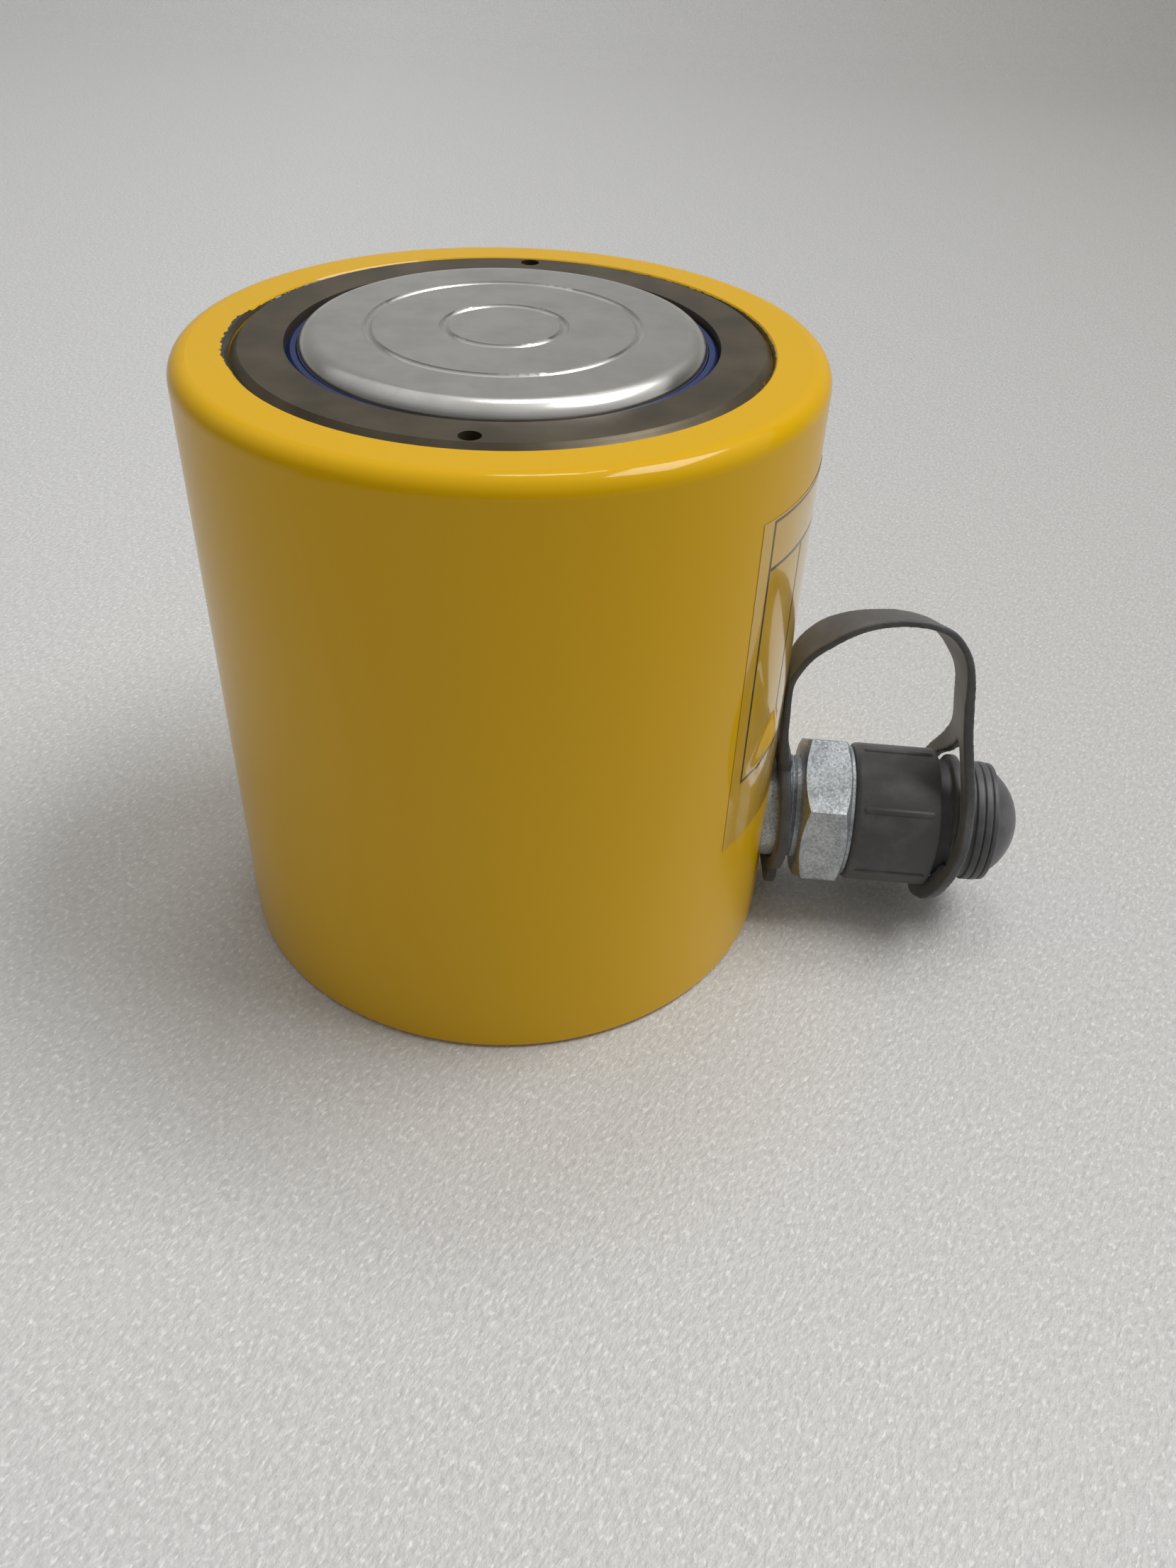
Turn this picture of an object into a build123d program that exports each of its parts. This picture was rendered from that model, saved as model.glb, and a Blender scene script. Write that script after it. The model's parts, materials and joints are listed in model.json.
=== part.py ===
# Low-height hydraulic cylinder: single-acting, spring return, side coupler with a rubber dust cap on its strap.
# The origin is the centre of the base, +Z is the plunger's axis and +X is the coupler's axis. Millimetres.

import os
from math import cos, radians, sin, sqrt, tan

from build123d import *

os.makedirs("parts", exist_ok=True)

# Fits: radial play of a running shaft, of a screwed or seated piece, and of a soft piece beside another body
running_play = 0.05
seated_play = 0.05
soft_gap = 0.3

# Cylinder body
bore_radius = 36.5
body_wall = 14.0
body_top_round = 3.0
body_foot_round = 1.3
floor_thickness = 23.0
base_bolt_radius = 4.25
base_bolt_depth = 15.5
base_bolt_spacing = 52.3

# Stop ring, screwed into the top of the body
ring_ledge = 4.9
ring_seat_depth = 14.7
ring_proud = 0.3
ring_chamfer = 1.3
lip_chamfer = 0.5
ring_mouth_gap = 1.8
ring_mouth_depth = 1.7
spanner_hole_radius = 1.6
spanner_hole_depth = 6.0
spanner_hole_inset = 3.3
spanner_hole_angle = 91.5

# Plunger
stroke = 50.0
piston_land = 5.0
plunger_proud = 1.9
plunger_rim_round = 3.0
hollow_radius = 17.0
crown_thickness = 13.6
top_groove_radii = (20.8, 9.2)
top_groove_section = 0.8
top_groove_depth = 0.55

# Guide bush and wiper in the stop ring
bush_wall = 2.5
bush_length = 6.5
bush_edge = 1.4
wiper_section = 3.1
wiper_length = 3.6
wiper_lip = 0.9

# Piston: seal stack on its spigot from the floor upwards, then the head with its bearing
seal_section = 7.0
spigot_toe = 0.8
clip_thickness = 1.0
clip_bite = 1.2
clip_wall = 2.6
clip_gap = 7.0
washer_thickness = 1.5
seal_height = 6.0
backup_thickness = 1.5
head_web = 1.9
bearing_height = 4.5
bearing_wall = 2.5
bearing_slit = 2.0
bearing_edge = 1.8

# Return spring and its two screwed anchors
spring_wire = 5.0
spring_mean_radius = 12.5
spring_pitch = 5.3
anchor_flange = 3.0
anchor_plug_length = 9.0
anchor_stud_radius = 5.0
anchor_stud_length = 9.0

# Side port and oilway
port_height = 19.6
port_depth = 10.5
oilway_radius = 2.0
oilway_inset = 3.5

# Coupler half, its lengths counted from the body's wall
neck_radius = 9.9
neck_groove_depth = 0.35
hex_offset = 5.7
hex_length = 9.0
hex_across_flats = 26.2
hex_corner_angle = 25.0
hex_bevel = 1.3
collar_radius = 12.4
collar_length = 0.5
socket_thread_radius = 11.2
socket_thread_length = 14.3
socket_edge = 0.9
cavity_radius = 7.6
spring_seat_offset = 1.5
oil_passage_radius = 3.0

# Valve in the coupler
ball_radius = 5.2
ball_travel = 2.5
valve_hole_radius = 4.0
valve_seat_length = 4.0
valve_seat_offset = 17.5
ball_spring_wire = 0.9
ball_spring_mean_radius = 4.2
ball_spring_turns = 4.5
socket_seal_section = 0.95
retainer_length = 1.8
retainer_hole_radius = 6.2

# Dust cap, its lengths counted from its open rim
cap_rim_gap = 0.3
cap_wall = 1.85
cap_bore_play = 0.15
cap_sleeve_length = 15.4
cap_rim_round = 0.9
cap_floor_gap = 0.3
cap_rib_count = 6
cap_rib_radius = 0.75
cap_rib_height = 0.4
cap_rib_margin = 1.3
cap_rib_length = 11.2
cap_rib_angle = 20.0
cap_groove_radius = 11.2
cap_bead_offset = 3.4
cap_bead_radius = 1.2
cap_bead_height = 1.4
cap_ridge_offset = 8.3
cap_ridge_radius = 11.3
cap_ridge_pitch = 1.3
cap_ridge_count = 3
cap_ridge_cut = 0.4
cap_dome_radius = 12.0
cap_dome_inset = 6.3

# Strap: two flat rings with pull tabs and the band between them
strap_width = 9.6
strap_thickness = 1.3
strap_root_thickness = 2.0
neck_ring_offset = 0.7
neck_ring_thickness = 2.2
neck_ring_band = 2.4
neck_ring_root = 3.4
cap_ring_radius = 13.4
cap_ring_band = 2.5
cap_ring_thickness = 1.8
cap_ring_offset = 3.9
cap_ring_lean_angle = 8.5
cap_ring_swing_angle = 6.3
fork_foot_height = 12.2
fork_gap_height = 18.4
fork_gap_tip = 1.2
pull_tab_width = 8.0
neck_tab_length = 2.0
cap_tab_length = 0.8
loop_height = 43.0
loop_wall_gap = 0.45
loop_start_height = 24.0
loop_start_angle = 5.0
root_height = 24.0
root_inset = 2.5
# Where the loop's arcs meet, as shares of its span and of its height
loop_shape = ((0.20, 0.92), (0.545, 1.0), (0.90, 0.86))

# Radii that follow from the bore
body_radius = bore_radius + body_wall
ring_thread_radius = bore_radius + ring_ledge
plunger_radius = bore_radius - piston_land
piston_radius = bore_radius - running_play
spigot_radius = bore_radius - seal_section
ring_mouth_radius = plunger_radius + ring_mouth_gap
wiper_groove_radius = plunger_radius + wiper_section
spanner_hole_circle = ring_thread_radius - spanner_hole_inset

# Levels along the plunger's axis; the piston and its stroke set the body's height
clip_level = floor_thickness + spigot_toe
washer_level = clip_level + clip_thickness
seal_level = washer_level + washer_thickness
backup_level = seal_level + seal_height
head_level = backup_level + backup_thickness
bearing_level = head_level + head_web
bearing_top = bearing_level + bearing_height
piston_shoulder = bearing_top + bearing_edge
ring_seat = piston_shoulder + stroke
body_height = ring_seat + ring_seat_depth
ring_top = body_height + ring_proud
plunger_top = body_height + plunger_proud
hollow_top = plunger_top - crown_thickness

# Places along the coupler's axis
port_end = body_radius - port_depth
spring_seat_x = body_radius + spring_seat_offset
hex_start = body_radius + hex_offset
hex_end = hex_start + hex_length
collar_end = hex_end + collar_length
socket_end = collar_end + socket_thread_length
valve_seat_x = body_radius + valve_seat_offset
valve_seat_end = valve_seat_x + valve_seat_length
ball_x = valve_seat_x - sqrt(ball_radius**2 - valve_hole_radius**2) - seated_play
cap_rim_x = collar_end + cap_rim_gap
cap_sleeve_end = cap_rim_x + cap_sleeve_length
cap_bore_radius = socket_thread_radius + cap_bore_play
cap_radius = cap_bore_radius + cap_wall
cap_floor_x = socket_end + cap_floor_gap

# Planes and axes: local x is +X and local y is +Z in the coupler's length plane
coupler_plane = Plane(origin=(0, 0, port_height), x_dir=(1, 0, 0), z_dir=(0, -1, 0))
coupler_axis = Axis((0, 0, port_height), (1, 0, 0))


def across_coupler(x):
    return Plane(origin=(x, 0, port_height), x_dir=(0, 1, 0), z_dir=(1, 0, 0))


def save(part, name):
    part.label = name
    export_step(part, f"parts/{name}.step")


# Cylinder body: base and barrel in one piece
with BuildPart() as cylinder_body:
    with BuildSketch(Plane.XZ):
        with BuildLine():
            Polyline(
                (0, 0),
                (body_radius, 0),
                (body_radius, body_height),
                (ring_thread_radius, body_height),
                (ring_thread_radius, ring_seat),
                (bore_radius, ring_seat),
                (bore_radius, floor_thickness),
                (0, floor_thickness),
                close=True,
            )
        make_face()
    revolve(axis=Axis.Z)
    top_circles = cylinder_body.edges().group_by(Axis.Z)[-1].sort_by(SortBy.RADIUS)
    fillet(top_circles[-1], body_top_round)
    chamfer(top_circles[0], lip_chamfer)
    fillet(cylinder_body.edges().group_by(Axis.Z)[0], body_foot_round)
    # side port, and the oilway from its end to the floor of the bore
    with BuildSketch(across_coupler(port_end)):
        Circle(neck_radius + seated_play)
    extrude(amount=body_radius, mode=Mode.SUBTRACT)
    with BuildSketch(across_coupler(bore_radius - oilway_inset)):
        Circle(oilway_radius)
    extrude(amount=port_end - bore_radius + oilway_inset, mode=Mode.SUBTRACT)
    with BuildSketch(Plane.XY.offset(port_height)):
        with Locations((bore_radius - oilway_inset, 0)):
            Circle(oilway_radius)
    extrude(amount=floor_thickness - port_height, mode=Mode.SUBTRACT)
    # blind threaded holes: the spring anchor's in the floor and two for bolts in the base
    with BuildSketch(Plane.XY.offset(floor_thickness)):
        Circle(anchor_stud_radius + seated_play)
    extrude(amount=-anchor_stud_length - seated_play, mode=Mode.SUBTRACT)
    with BuildSketch(Plane.XY):
        with Locations((0, base_bolt_spacing / 2), (0, -base_bolt_spacing / 2)):
            Circle(base_bolt_radius)
    extrude(amount=base_bolt_depth, mode=Mode.SUBTRACT)
save(cylinder_body.part, "cylinder_body")

# Levels inside the stop ring
wiper_top = ring_top - ring_mouth_depth
wiper_level = wiper_top - wiper_length
bush_level = ring_seat + bush_edge
bush_top = bush_level + bush_length
bush_radius = plunger_radius + bush_wall
ring_bore_radius = plunger_radius + 4 * running_play

# Stop ring: grooves inside for the guide bush and the wiper, two blind pin holes on top
with BuildPart() as stop_ring:
    with BuildSketch(Plane.XZ):
        with BuildLine():
            Polyline(
                (ring_bore_radius, ring_seat),
                (ring_thread_radius - seated_play, ring_seat),
                (ring_thread_radius - seated_play, ring_top - ring_chamfer),
                (ring_thread_radius - seated_play - ring_chamfer, ring_top),
                (ring_mouth_radius, ring_top),
                (ring_mouth_radius, wiper_top),
                (wiper_groove_radius, wiper_top),
                (wiper_groove_radius, wiper_level),
                (ring_bore_radius, wiper_level),
                (ring_bore_radius, bush_top),
                (bush_radius, bush_top),
                (bush_radius, bush_level),
                (ring_bore_radius, bush_level),
                close=True,
            )
        make_face()
    revolve(axis=Axis.Z)
    with BuildSketch(Plane.XY.offset(ring_top)):
        with PolarLocations(spanner_hole_circle, 2, start_angle=spanner_hole_angle):
            Circle(spanner_hole_radius)
    extrude(amount=-spanner_hole_depth, mode=Mode.SUBTRACT)
save(stop_ring.part, "stop_ring")

# Guide bush: the plunger runs on it
with BuildPart() as guide_bush:
    with BuildSketch(Plane.XY.offset(bush_level)):
        Circle(bush_radius)
        Circle(plunger_radius + running_play, mode=Mode.SUBTRACT)
    extrude(amount=bush_length)
save(guide_bush.part, "guide_bush")

# Wiper: a ring in its groove, with a lip that leans on the plunger below the ring's mouth
with BuildPart() as wiper_seal:
    with BuildSketch(Plane.XZ):
        with BuildLine():
            Polyline(
                (plunger_radius + running_play, wiper_level + wiper_lip),
                (plunger_radius + wiper_lip, wiper_level),
                (wiper_groove_radius, wiper_level),
                (wiper_groove_radius, wiper_top),
                (ring_mouth_radius - seated_play, wiper_top),
                (ring_mouth_radius - wiper_lip, wiper_top + wiper_lip),
                (plunger_radius + running_play, wiper_top + wiper_lip),
                close=True,
            )
        make_face()
    revolve(axis=Axis.Z)
save(wiper_seal.part, "wiper_seal")

# Plunger with its piston head: hollow from below, rounded rim and two turned grooves on top
with BuildPart() as plunger:
    with BuildSketch(Plane.XZ):
        with BuildLine():
            Polyline(
                (hollow_radius, floor_thickness),
                (spigot_radius, floor_thickness),
                (spigot_radius, clip_level),
                (spigot_radius - clip_bite, clip_level),
                (spigot_radius - clip_bite, washer_level),
                (spigot_radius, washer_level),
                (spigot_radius, head_level),
                (piston_radius, head_level),
                (piston_radius, bearing_level),
                (bore_radius - bearing_wall, bearing_level),
                (bore_radius - bearing_wall, bearing_top),
                (piston_radius, bearing_top),
                (piston_radius, piston_shoulder),
                (plunger_radius, piston_shoulder),
                (plunger_radius, plunger_top),
                (0, plunger_top),
                (0, hollow_top + anchor_stud_length + seated_play),
                (anchor_stud_radius + seated_play, hollow_top + anchor_stud_length + seated_play),
                (anchor_stud_radius + seated_play, hollow_top),
                (hollow_radius, hollow_top),
                close=True,
            )
        make_face()
    revolve(axis=Axis.Z)
    fillet(plunger.edges().group_by(Axis.Z)[-1], plunger_rim_round)
    groove_rise = top_groove_section - top_groove_depth
    with BuildSketch(Plane.XZ):
        with Locations([(radius, plunger_top + groove_rise) for radius in top_groove_radii]):
            Circle(top_groove_section)
    revolve(axis=Axis.Z, mode=Mode.SUBTRACT)
save(plunger.part, "plunger")

# Piston bearing: a split wear band
with BuildPart() as piston_bearing:
    with BuildSketch(Plane.XY.offset(bearing_level)):
        Circle(bore_radius - running_play / 2)
        Circle(bore_radius - bearing_wall, mode=Mode.SUBTRACT)
        with Locations((-bore_radius, 0)):
            Rectangle(3 * bearing_wall, bearing_slit, mode=Mode.SUBTRACT)
    extrude(amount=bearing_height)
save(piston_bearing.part, "piston_bearing")

# Backup ring between the seal and the piston head
with BuildPart() as backup_ring:
    with BuildSketch(Plane.XY.offset(backup_level)):
        Circle(piston_radius)
        Circle(spigot_radius, mode=Mode.SUBTRACT)
    extrude(amount=backup_thickness)
save(backup_ring.part, "backup_ring")

# Piston seal: a cup whose two lips open downwards, to the oil
seal_middle = (spigot_radius + bore_radius) / 2
seal_lip = (bore_radius - spigot_radius) / 4
with BuildPart() as piston_seal:
    with BuildSketch(Plane.XZ):
        with BuildLine():
            Polyline(
                (spigot_radius, seal_level),
                (spigot_radius, backup_level),
                (bore_radius - running_play, backup_level),
                (bore_radius - running_play, seal_level),
                (bore_radius - running_play - seal_lip, seal_level),
                (seal_middle, seal_level + seal_height / 2),
                (spigot_radius + seal_lip, seal_level),
                close=True,
            )
        make_face()
    revolve(axis=Axis.Z)
save(piston_seal.part, "piston_seal")

# Washer that carries the seal, and the split clip that holds the washer on the spigot
with BuildPart() as seal_washer:
    with BuildSketch(Plane.XY.offset(washer_level)):
        Circle(piston_radius - seated_play)
        Circle(spigot_radius, mode=Mode.SUBTRACT)
    extrude(amount=washer_thickness)
save(seal_washer.part, "seal_washer")

with BuildPart() as seal_clip:
    with BuildSketch(Plane.XY.offset(clip_level)):
        Circle(spigot_radius - clip_bite + clip_wall)
        Circle(spigot_radius - clip_bite, mode=Mode.SUBTRACT)
        with Locations((-spigot_radius, 0)):
            Rectangle(3 * clip_wall, clip_gap, mode=Mode.SUBTRACT)
    extrude(amount=clip_thickness)
save(seal_clip.part, "seal_clip")


# Spring anchors: stud, flange, and a plug that the end turns are screwed on
def spring_anchor(root, side):
    flange_face = root + side * anchor_flange
    plug_end = flange_face + side * anchor_plug_length
    plug_radius = spring_mean_radius - spring_wire / 2 - seated_play
    with BuildPart() as anchor:
        with BuildSketch(Plane.XZ):
            with BuildLine():
                Polyline(
                    (0, root - side * anchor_stud_length),
                    (anchor_stud_radius, root - side * anchor_stud_length),
                    (anchor_stud_radius, root),
                    (spring_mean_radius + spring_wire / 2, root),
                    (spring_mean_radius + spring_wire / 2, flange_face),
                    (plug_radius, flange_face),
                    (plug_radius, plug_end),
                    (0, plug_end),
                    close=True,
                )
            make_face()
        revolve(axis=Axis.Z)
    return anchor.part


save(spring_anchor(floor_thickness, 1), "spring_anchor_lower")
save(spring_anchor(hollow_top, -1), "spring_anchor_upper")

# Return spring: its turns lie almost closed, from one anchor's flange to the other's
coil_bottom = floor_thickness + anchor_flange + spring_wire / 2 + seated_play
coil_top = hollow_top - anchor_flange - spring_wire / 2 - seated_play
coil_turns = int((coil_top - coil_bottom) / spring_pitch)
coil_rise = coil_top - coil_bottom
with BuildPart() as return_spring:
    with BuildLine():
        coil = Helix(coil_rise / coil_turns, coil_rise, spring_mean_radius, center=(0, 0, coil_bottom))
    with BuildSketch(Plane(origin=coil @ 0, z_dir=coil % 0)):
        RegularPolygon(spring_wire / 2, 8)
    sweep(is_frenet=True)
save(return_spring.part, "return_spring")

# Coupler body: threaded neck, hexagon with bevelled corners, collar and threaded socket
hex_corner_radius = hex_across_flats / sqrt(3)
with BuildPart() as coupler_body:
    with BuildSketch(across_coupler(hex_start)):
        RegularPolygon(hex_across_flats / 2, 6, major_radius=False, rotation=hex_corner_angle)
    extrude(amount=hex_length)
    with BuildSketch(coupler_plane):
        with BuildLine():
            Polyline(
                (hex_start, 0),
                (hex_start, hex_across_flats / 2 - hex_bevel / 2),
                (hex_start + hex_bevel, hex_corner_radius),
                (hex_end - hex_bevel, hex_corner_radius),
                (hex_end, hex_across_flats / 2 - hex_bevel / 2),
                (hex_end, 0),
                close=True,
            )
        make_face()
    revolve(axis=coupler_axis, mode=Mode.INTERSECT)
    with BuildSketch(coupler_plane):
        with BuildLine():
            Polyline(
                (port_end, 0),
                (port_end, neck_radius),
                (hex_start, neck_radius),
                (hex_start, collar_radius),
                (collar_end, collar_radius),
                (collar_end, socket_thread_radius),
                (socket_end - socket_edge, socket_thread_radius),
                (socket_end, socket_thread_radius - socket_edge),
                (socket_end, 0),
                close=True,
            )
        make_face()
    revolve(axis=coupler_axis)
    with BuildSketch(coupler_plane):
        with BuildLine():
            Polyline(
                (port_end, 0),
                (port_end, oil_passage_radius),
                (spring_seat_x, oil_passage_radius),
                (spring_seat_x, cavity_radius),
                (socket_end, cavity_radius),
                (socket_end, 0),
                close=True,
            )
        make_face()
    revolve(axis=coupler_axis, mode=Mode.SUBTRACT)
    # two thread turns show on the neck between the strap's ring and the hexagon
    neck_ring_end = body_radius + neck_ring_offset + neck_ring_thickness
    with BuildSketch(coupler_plane):
        with Locations((neck_ring_end + 0.8, neck_radius), (neck_ring_end + 1.6, neck_radius)):
            RegularPolygon(neck_groove_depth, 4)
    revolve(axis=coupler_axis, mode=Mode.SUBTRACT)
save(coupler_body.part, "coupler_body")

# Valve seat, screwed into the cavity; the ball closes on the edge of its hole
with BuildPart() as valve_seat:
    with BuildSketch(across_coupler(valve_seat_x)):
        Circle(cavity_radius - seated_play)
        Circle(valve_hole_radius, mode=Mode.SUBTRACT)
    extrude(amount=valve_seat_length)
save(valve_seat.part, "valve_seat")

with BuildPart() as check_ball:
    with Locations((ball_x, 0, port_height)):
        Sphere(ball_radius)
save(check_ball.part, "check_ball")

# Ball spring, from its seat in the neck to the back of the ball
ball_spring_start = spring_seat_x + ball_spring_wire / 2 + seated_play
ball_back_x = ball_x - sqrt(ball_radius**2 - (ball_spring_mean_radius - ball_spring_wire / 2) ** 2)
ball_spring_end = ball_back_x - ball_spring_wire / 2 - seated_play
ball_spring_rise = ball_spring_end - ball_spring_start
with BuildPart() as ball_spring:
    with BuildLine():
        ball_coil = Helix(
            ball_spring_rise / ball_spring_turns,
            ball_spring_rise,
            ball_spring_mean_radius,
            center=(ball_spring_start, 0, port_height),
            direction=(1, 0, 0),
        )
    with BuildSketch(Plane(origin=ball_coil @ 0, z_dir=ball_coil % 0)):
        RegularPolygon(ball_spring_wire / 2, 6)
    sweep(is_frenet=True)
save(ball_spring.part, "ball_spring")

# Seal for the hose's nipple and the ring that keeps it in the socket
socket_seal_x = valve_seat_end + socket_seal_section + seated_play
retainer_x = socket_seal_x + socket_seal_section + seated_play
with BuildPart() as socket_seal:
    with BuildSketch(coupler_plane):
        with Locations((socket_seal_x, cavity_radius - socket_seal_section - seated_play)):
            Circle(socket_seal_section)
    revolve(axis=coupler_axis)
save(socket_seal.part, "socket_seal")

with BuildPart() as seal_retainer:
    with BuildSketch(across_coupler(retainer_x)):
        Circle(cavity_radius - seated_play)
        Circle(retainer_hole_radius, mode=Mode.SUBTRACT)
    extrude(amount=retainer_length)
save(seal_retainer.part, "seal_retainer")

# Dust cap: ribbed sleeve over the socket's thread, beaded neck, ridges and a domed end
ridge_x = cap_rim_x + cap_sleeve_length + cap_ridge_offset - cap_ridge_pitch
ridge_end = ridge_x + cap_ridge_count * cap_ridge_pitch
dome_centre = ridge_end - cap_dome_inset
dome_start_radius = sqrt(cap_dome_radius**2 - cap_dome_inset**2)
half_step = cap_dome_radius * sqrt(0.5)
bead_x = cap_sleeve_end + cap_bead_offset
with BuildPart() as dust_cap:
    with BuildSketch(coupler_plane):
        with BuildLine():
            Polyline(
                (cap_floor_x, 0),
                (cap_floor_x, cap_bore_radius),
                (cap_rim_x, cap_bore_radius),
                (cap_rim_x, cap_radius),
                (cap_sleeve_end, cap_radius),
                (cap_sleeve_end, cap_groove_radius),
                (ridge_x, cap_groove_radius),
                (ridge_x, cap_ridge_radius),
                (ridge_end, cap_ridge_radius),
                (ridge_end, dome_start_radius),
            )
            ThreePointArc(
                (ridge_end, dome_start_radius),
                (dome_centre + half_step, half_step),
                (dome_centre + cap_dome_radius, 0),
            )
            Line((dome_centre + cap_dome_radius, 0), (cap_floor_x, 0))
        make_face()
    revolve(axis=coupler_axis)
    rim_circles = dust_cap.edges().group_by(Axis.X)[0].sort_by(SortBy.RADIUS)
    fillet(rim_circles[-1], cap_rim_round)
    with BuildSketch(coupler_plane):
        with Locations((bead_x, cap_groove_radius + cap_bead_height - cap_bead_radius)):
            Circle(cap_bead_radius)
    revolve(axis=coupler_axis)
    with BuildSketch(coupler_plane):
        with Locations([(ridge_x + n * cap_ridge_pitch, cap_ridge_radius) for n in range(1, cap_ridge_count)]):
            RegularPolygon(cap_ridge_cut, 4)
    revolve(axis=coupler_axis, mode=Mode.SUBTRACT)
    with BuildSketch(across_coupler(cap_rim_x + cap_rib_margin)):
        with PolarLocations(cap_radius + cap_rib_height - cap_rib_radius, cap_rib_count, cap_rib_angle):
            Circle(cap_rib_radius)
    extrude(amount=cap_rib_length)
save(dust_cap.part, "dust_cap")

# Strap's ring round the neck: flat, with a pull tab below and a root for the band above
neck_ring_x = body_radius + neck_ring_offset
neck_ring_radius = neck_radius + soft_gap
neck_ring_edge = neck_ring_radius + neck_ring_band
neck_root_top = neck_ring_edge + neck_ring_root


def strap_ring_outline(inner, outer, root_top, tab_length):
    Circle(outer)
    with Locations((0, root_top / 2)):
        Rectangle(strap_width, root_top)
    with Locations((0, -(outer + tab_length) / 2)):
        Rectangle(pull_tab_width, outer + tab_length)
    Circle(inner, mode=Mode.SUBTRACT)


with BuildPart() as strap_neck_ring:
    with BuildSketch(across_coupler(neck_ring_x)):
        strap_ring_outline(neck_ring_radius, neck_ring_edge, neck_root_top, neck_tab_length)
    extrude(amount=neck_ring_thickness)
save(strap_neck_ring.part, "strap_neck_ring")

# Strap's ring round the cap's neck: it leans, because the band pulls its top outwards
cap_ring_centre = Vector(cap_sleeve_end + cap_ring_offset, 0, port_height)
cap_ring_lean = tan(radians(cap_ring_lean_angle))
cap_ring_swing = tan(radians(cap_ring_swing_angle))
cap_ring_normal = Vector(1, cap_ring_swing, -cap_ring_lean).normalized()
cap_ring_up = (Vector(0, 0, 1) - cap_ring_normal * cap_ring_normal.Z).normalized()
cap_ring_side = cap_ring_up.cross(cap_ring_normal)
cap_ring_plane = Plane(
    origin=cap_ring_centre - cap_ring_normal * (cap_ring_thickness / 2),
    x_dir=cap_ring_side,
    z_dir=cap_ring_normal,
)
cap_ring_edge = cap_ring_radius + cap_ring_band

# Strap's band: up along the wall, over in a loop and down to the cap ring's root
neck_ring_middle = neck_ring_x + neck_ring_thickness / 2
wall_x = body_radius + loop_wall_gap + strap_thickness / 2
loop_span = cap_ring_centre.X - root_inset - wall_x
loop_joints = [(wall_x, loop_start_height)]
loop_joints += [(wall_x + along * loop_span, up * loop_height) for along, up in loop_shape]
loop_joints += [(wall_x + loop_span, root_height)]
loop_start_heading = (-sin(radians(loop_start_angle)), cos(radians(loop_start_angle)))
with BuildPart() as strap_band:
    with BuildLine(coupler_plane) as loop:
        arc = TangentArc((neck_ring_middle, neck_root_top), loop_joints[0], tangent=loop_start_heading)
        for joint in loop_joints[1:]:
            arc = TangentArc(arc @ 1, joint, tangent=arc % 1)
    with BuildSketch(Plane(origin=loop.line @ 0, x_dir=(0, 1, 0), z_dir=loop.line % 0)):
        Rectangle(strap_width, strap_thickness)
    sweep(path=loop.line)
save(strap_band.part, "strap_band")

# the ring's root forks: two legs come down from the band's end on either side of a gap
ring_far_x = cap_ring_centre.X + cap_ring_edge
fork_foot = cap_ring_centre + cap_ring_up * fork_foot_height
fork_foot_width = 2 * sqrt(cap_ring_edge**2 - fork_foot_height**2)
fork_gap_width = 2 * sqrt(cap_ring_radius**2 - fork_foot_height**2)
with BuildPart() as strap_cap_ring:
    with BuildSketch(cap_ring_plane):
        strap_ring_outline(cap_ring_radius, cap_ring_edge, cap_ring_radius, cap_tab_length)
        with Locations((0, fork_foot_height + cap_ring_edge)):
            Rectangle(2 * cap_ring_edge, 2 * cap_ring_edge, mode=Mode.SUBTRACT)
    extrude(amount=cap_ring_thickness)
    with BuildSketch(Plane(origin=fork_foot, x_dir=cap_ring_side, z_dir=cap_ring_up)):
        Rectangle(fork_foot_width, cap_ring_thickness)
    with BuildSketch(Plane(origin=loop.line @ 1, x_dir=(0, 1, 0), z_dir=-(loop.line % 1))):
        Rectangle(strap_width, strap_root_thickness)
    loft()
    with BuildSketch(across_coupler(ring_far_x)):
        Polygon(
            (-fork_gap_width / 2, 0),
            (fork_gap_width / 2, 0),
            (fork_gap_width / 2, fork_foot_height),
            (fork_gap_tip / 2, fork_gap_height),
            (-fork_gap_tip / 2, fork_gap_height),
            (-fork_gap_width / 2, fork_foot_height),
            align=None,
        )
    extrude(amount=-2 * cap_ring_edge, mode=Mode.SUBTRACT)
save(strap_cap_ring.part, "strap_cap_ring")
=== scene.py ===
import json
import math

import bmesh
import bpy
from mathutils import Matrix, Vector


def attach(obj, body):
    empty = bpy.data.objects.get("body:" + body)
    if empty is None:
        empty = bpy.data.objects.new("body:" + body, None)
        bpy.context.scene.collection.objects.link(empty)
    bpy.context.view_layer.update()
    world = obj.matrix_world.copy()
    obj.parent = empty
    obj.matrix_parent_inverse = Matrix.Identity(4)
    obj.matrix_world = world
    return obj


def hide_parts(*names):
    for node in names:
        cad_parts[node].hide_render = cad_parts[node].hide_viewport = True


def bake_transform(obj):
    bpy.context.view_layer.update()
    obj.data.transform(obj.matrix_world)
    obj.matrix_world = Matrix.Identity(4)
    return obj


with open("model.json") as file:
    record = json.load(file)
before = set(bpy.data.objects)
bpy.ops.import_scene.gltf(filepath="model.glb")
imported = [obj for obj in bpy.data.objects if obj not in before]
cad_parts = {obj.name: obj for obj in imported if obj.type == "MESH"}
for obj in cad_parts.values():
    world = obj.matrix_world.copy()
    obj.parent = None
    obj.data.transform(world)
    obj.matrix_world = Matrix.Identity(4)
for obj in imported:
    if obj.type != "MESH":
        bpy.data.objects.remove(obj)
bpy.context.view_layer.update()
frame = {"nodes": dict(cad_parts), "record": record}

mm = 0.001
bodyRadius = 50.5
axisHeight = 19.6  # of the coupler, above the base
waveScale = math.tau / 20  # a wave texture at this scale has one band per unit
nodes = frame["nodes"]


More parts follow.
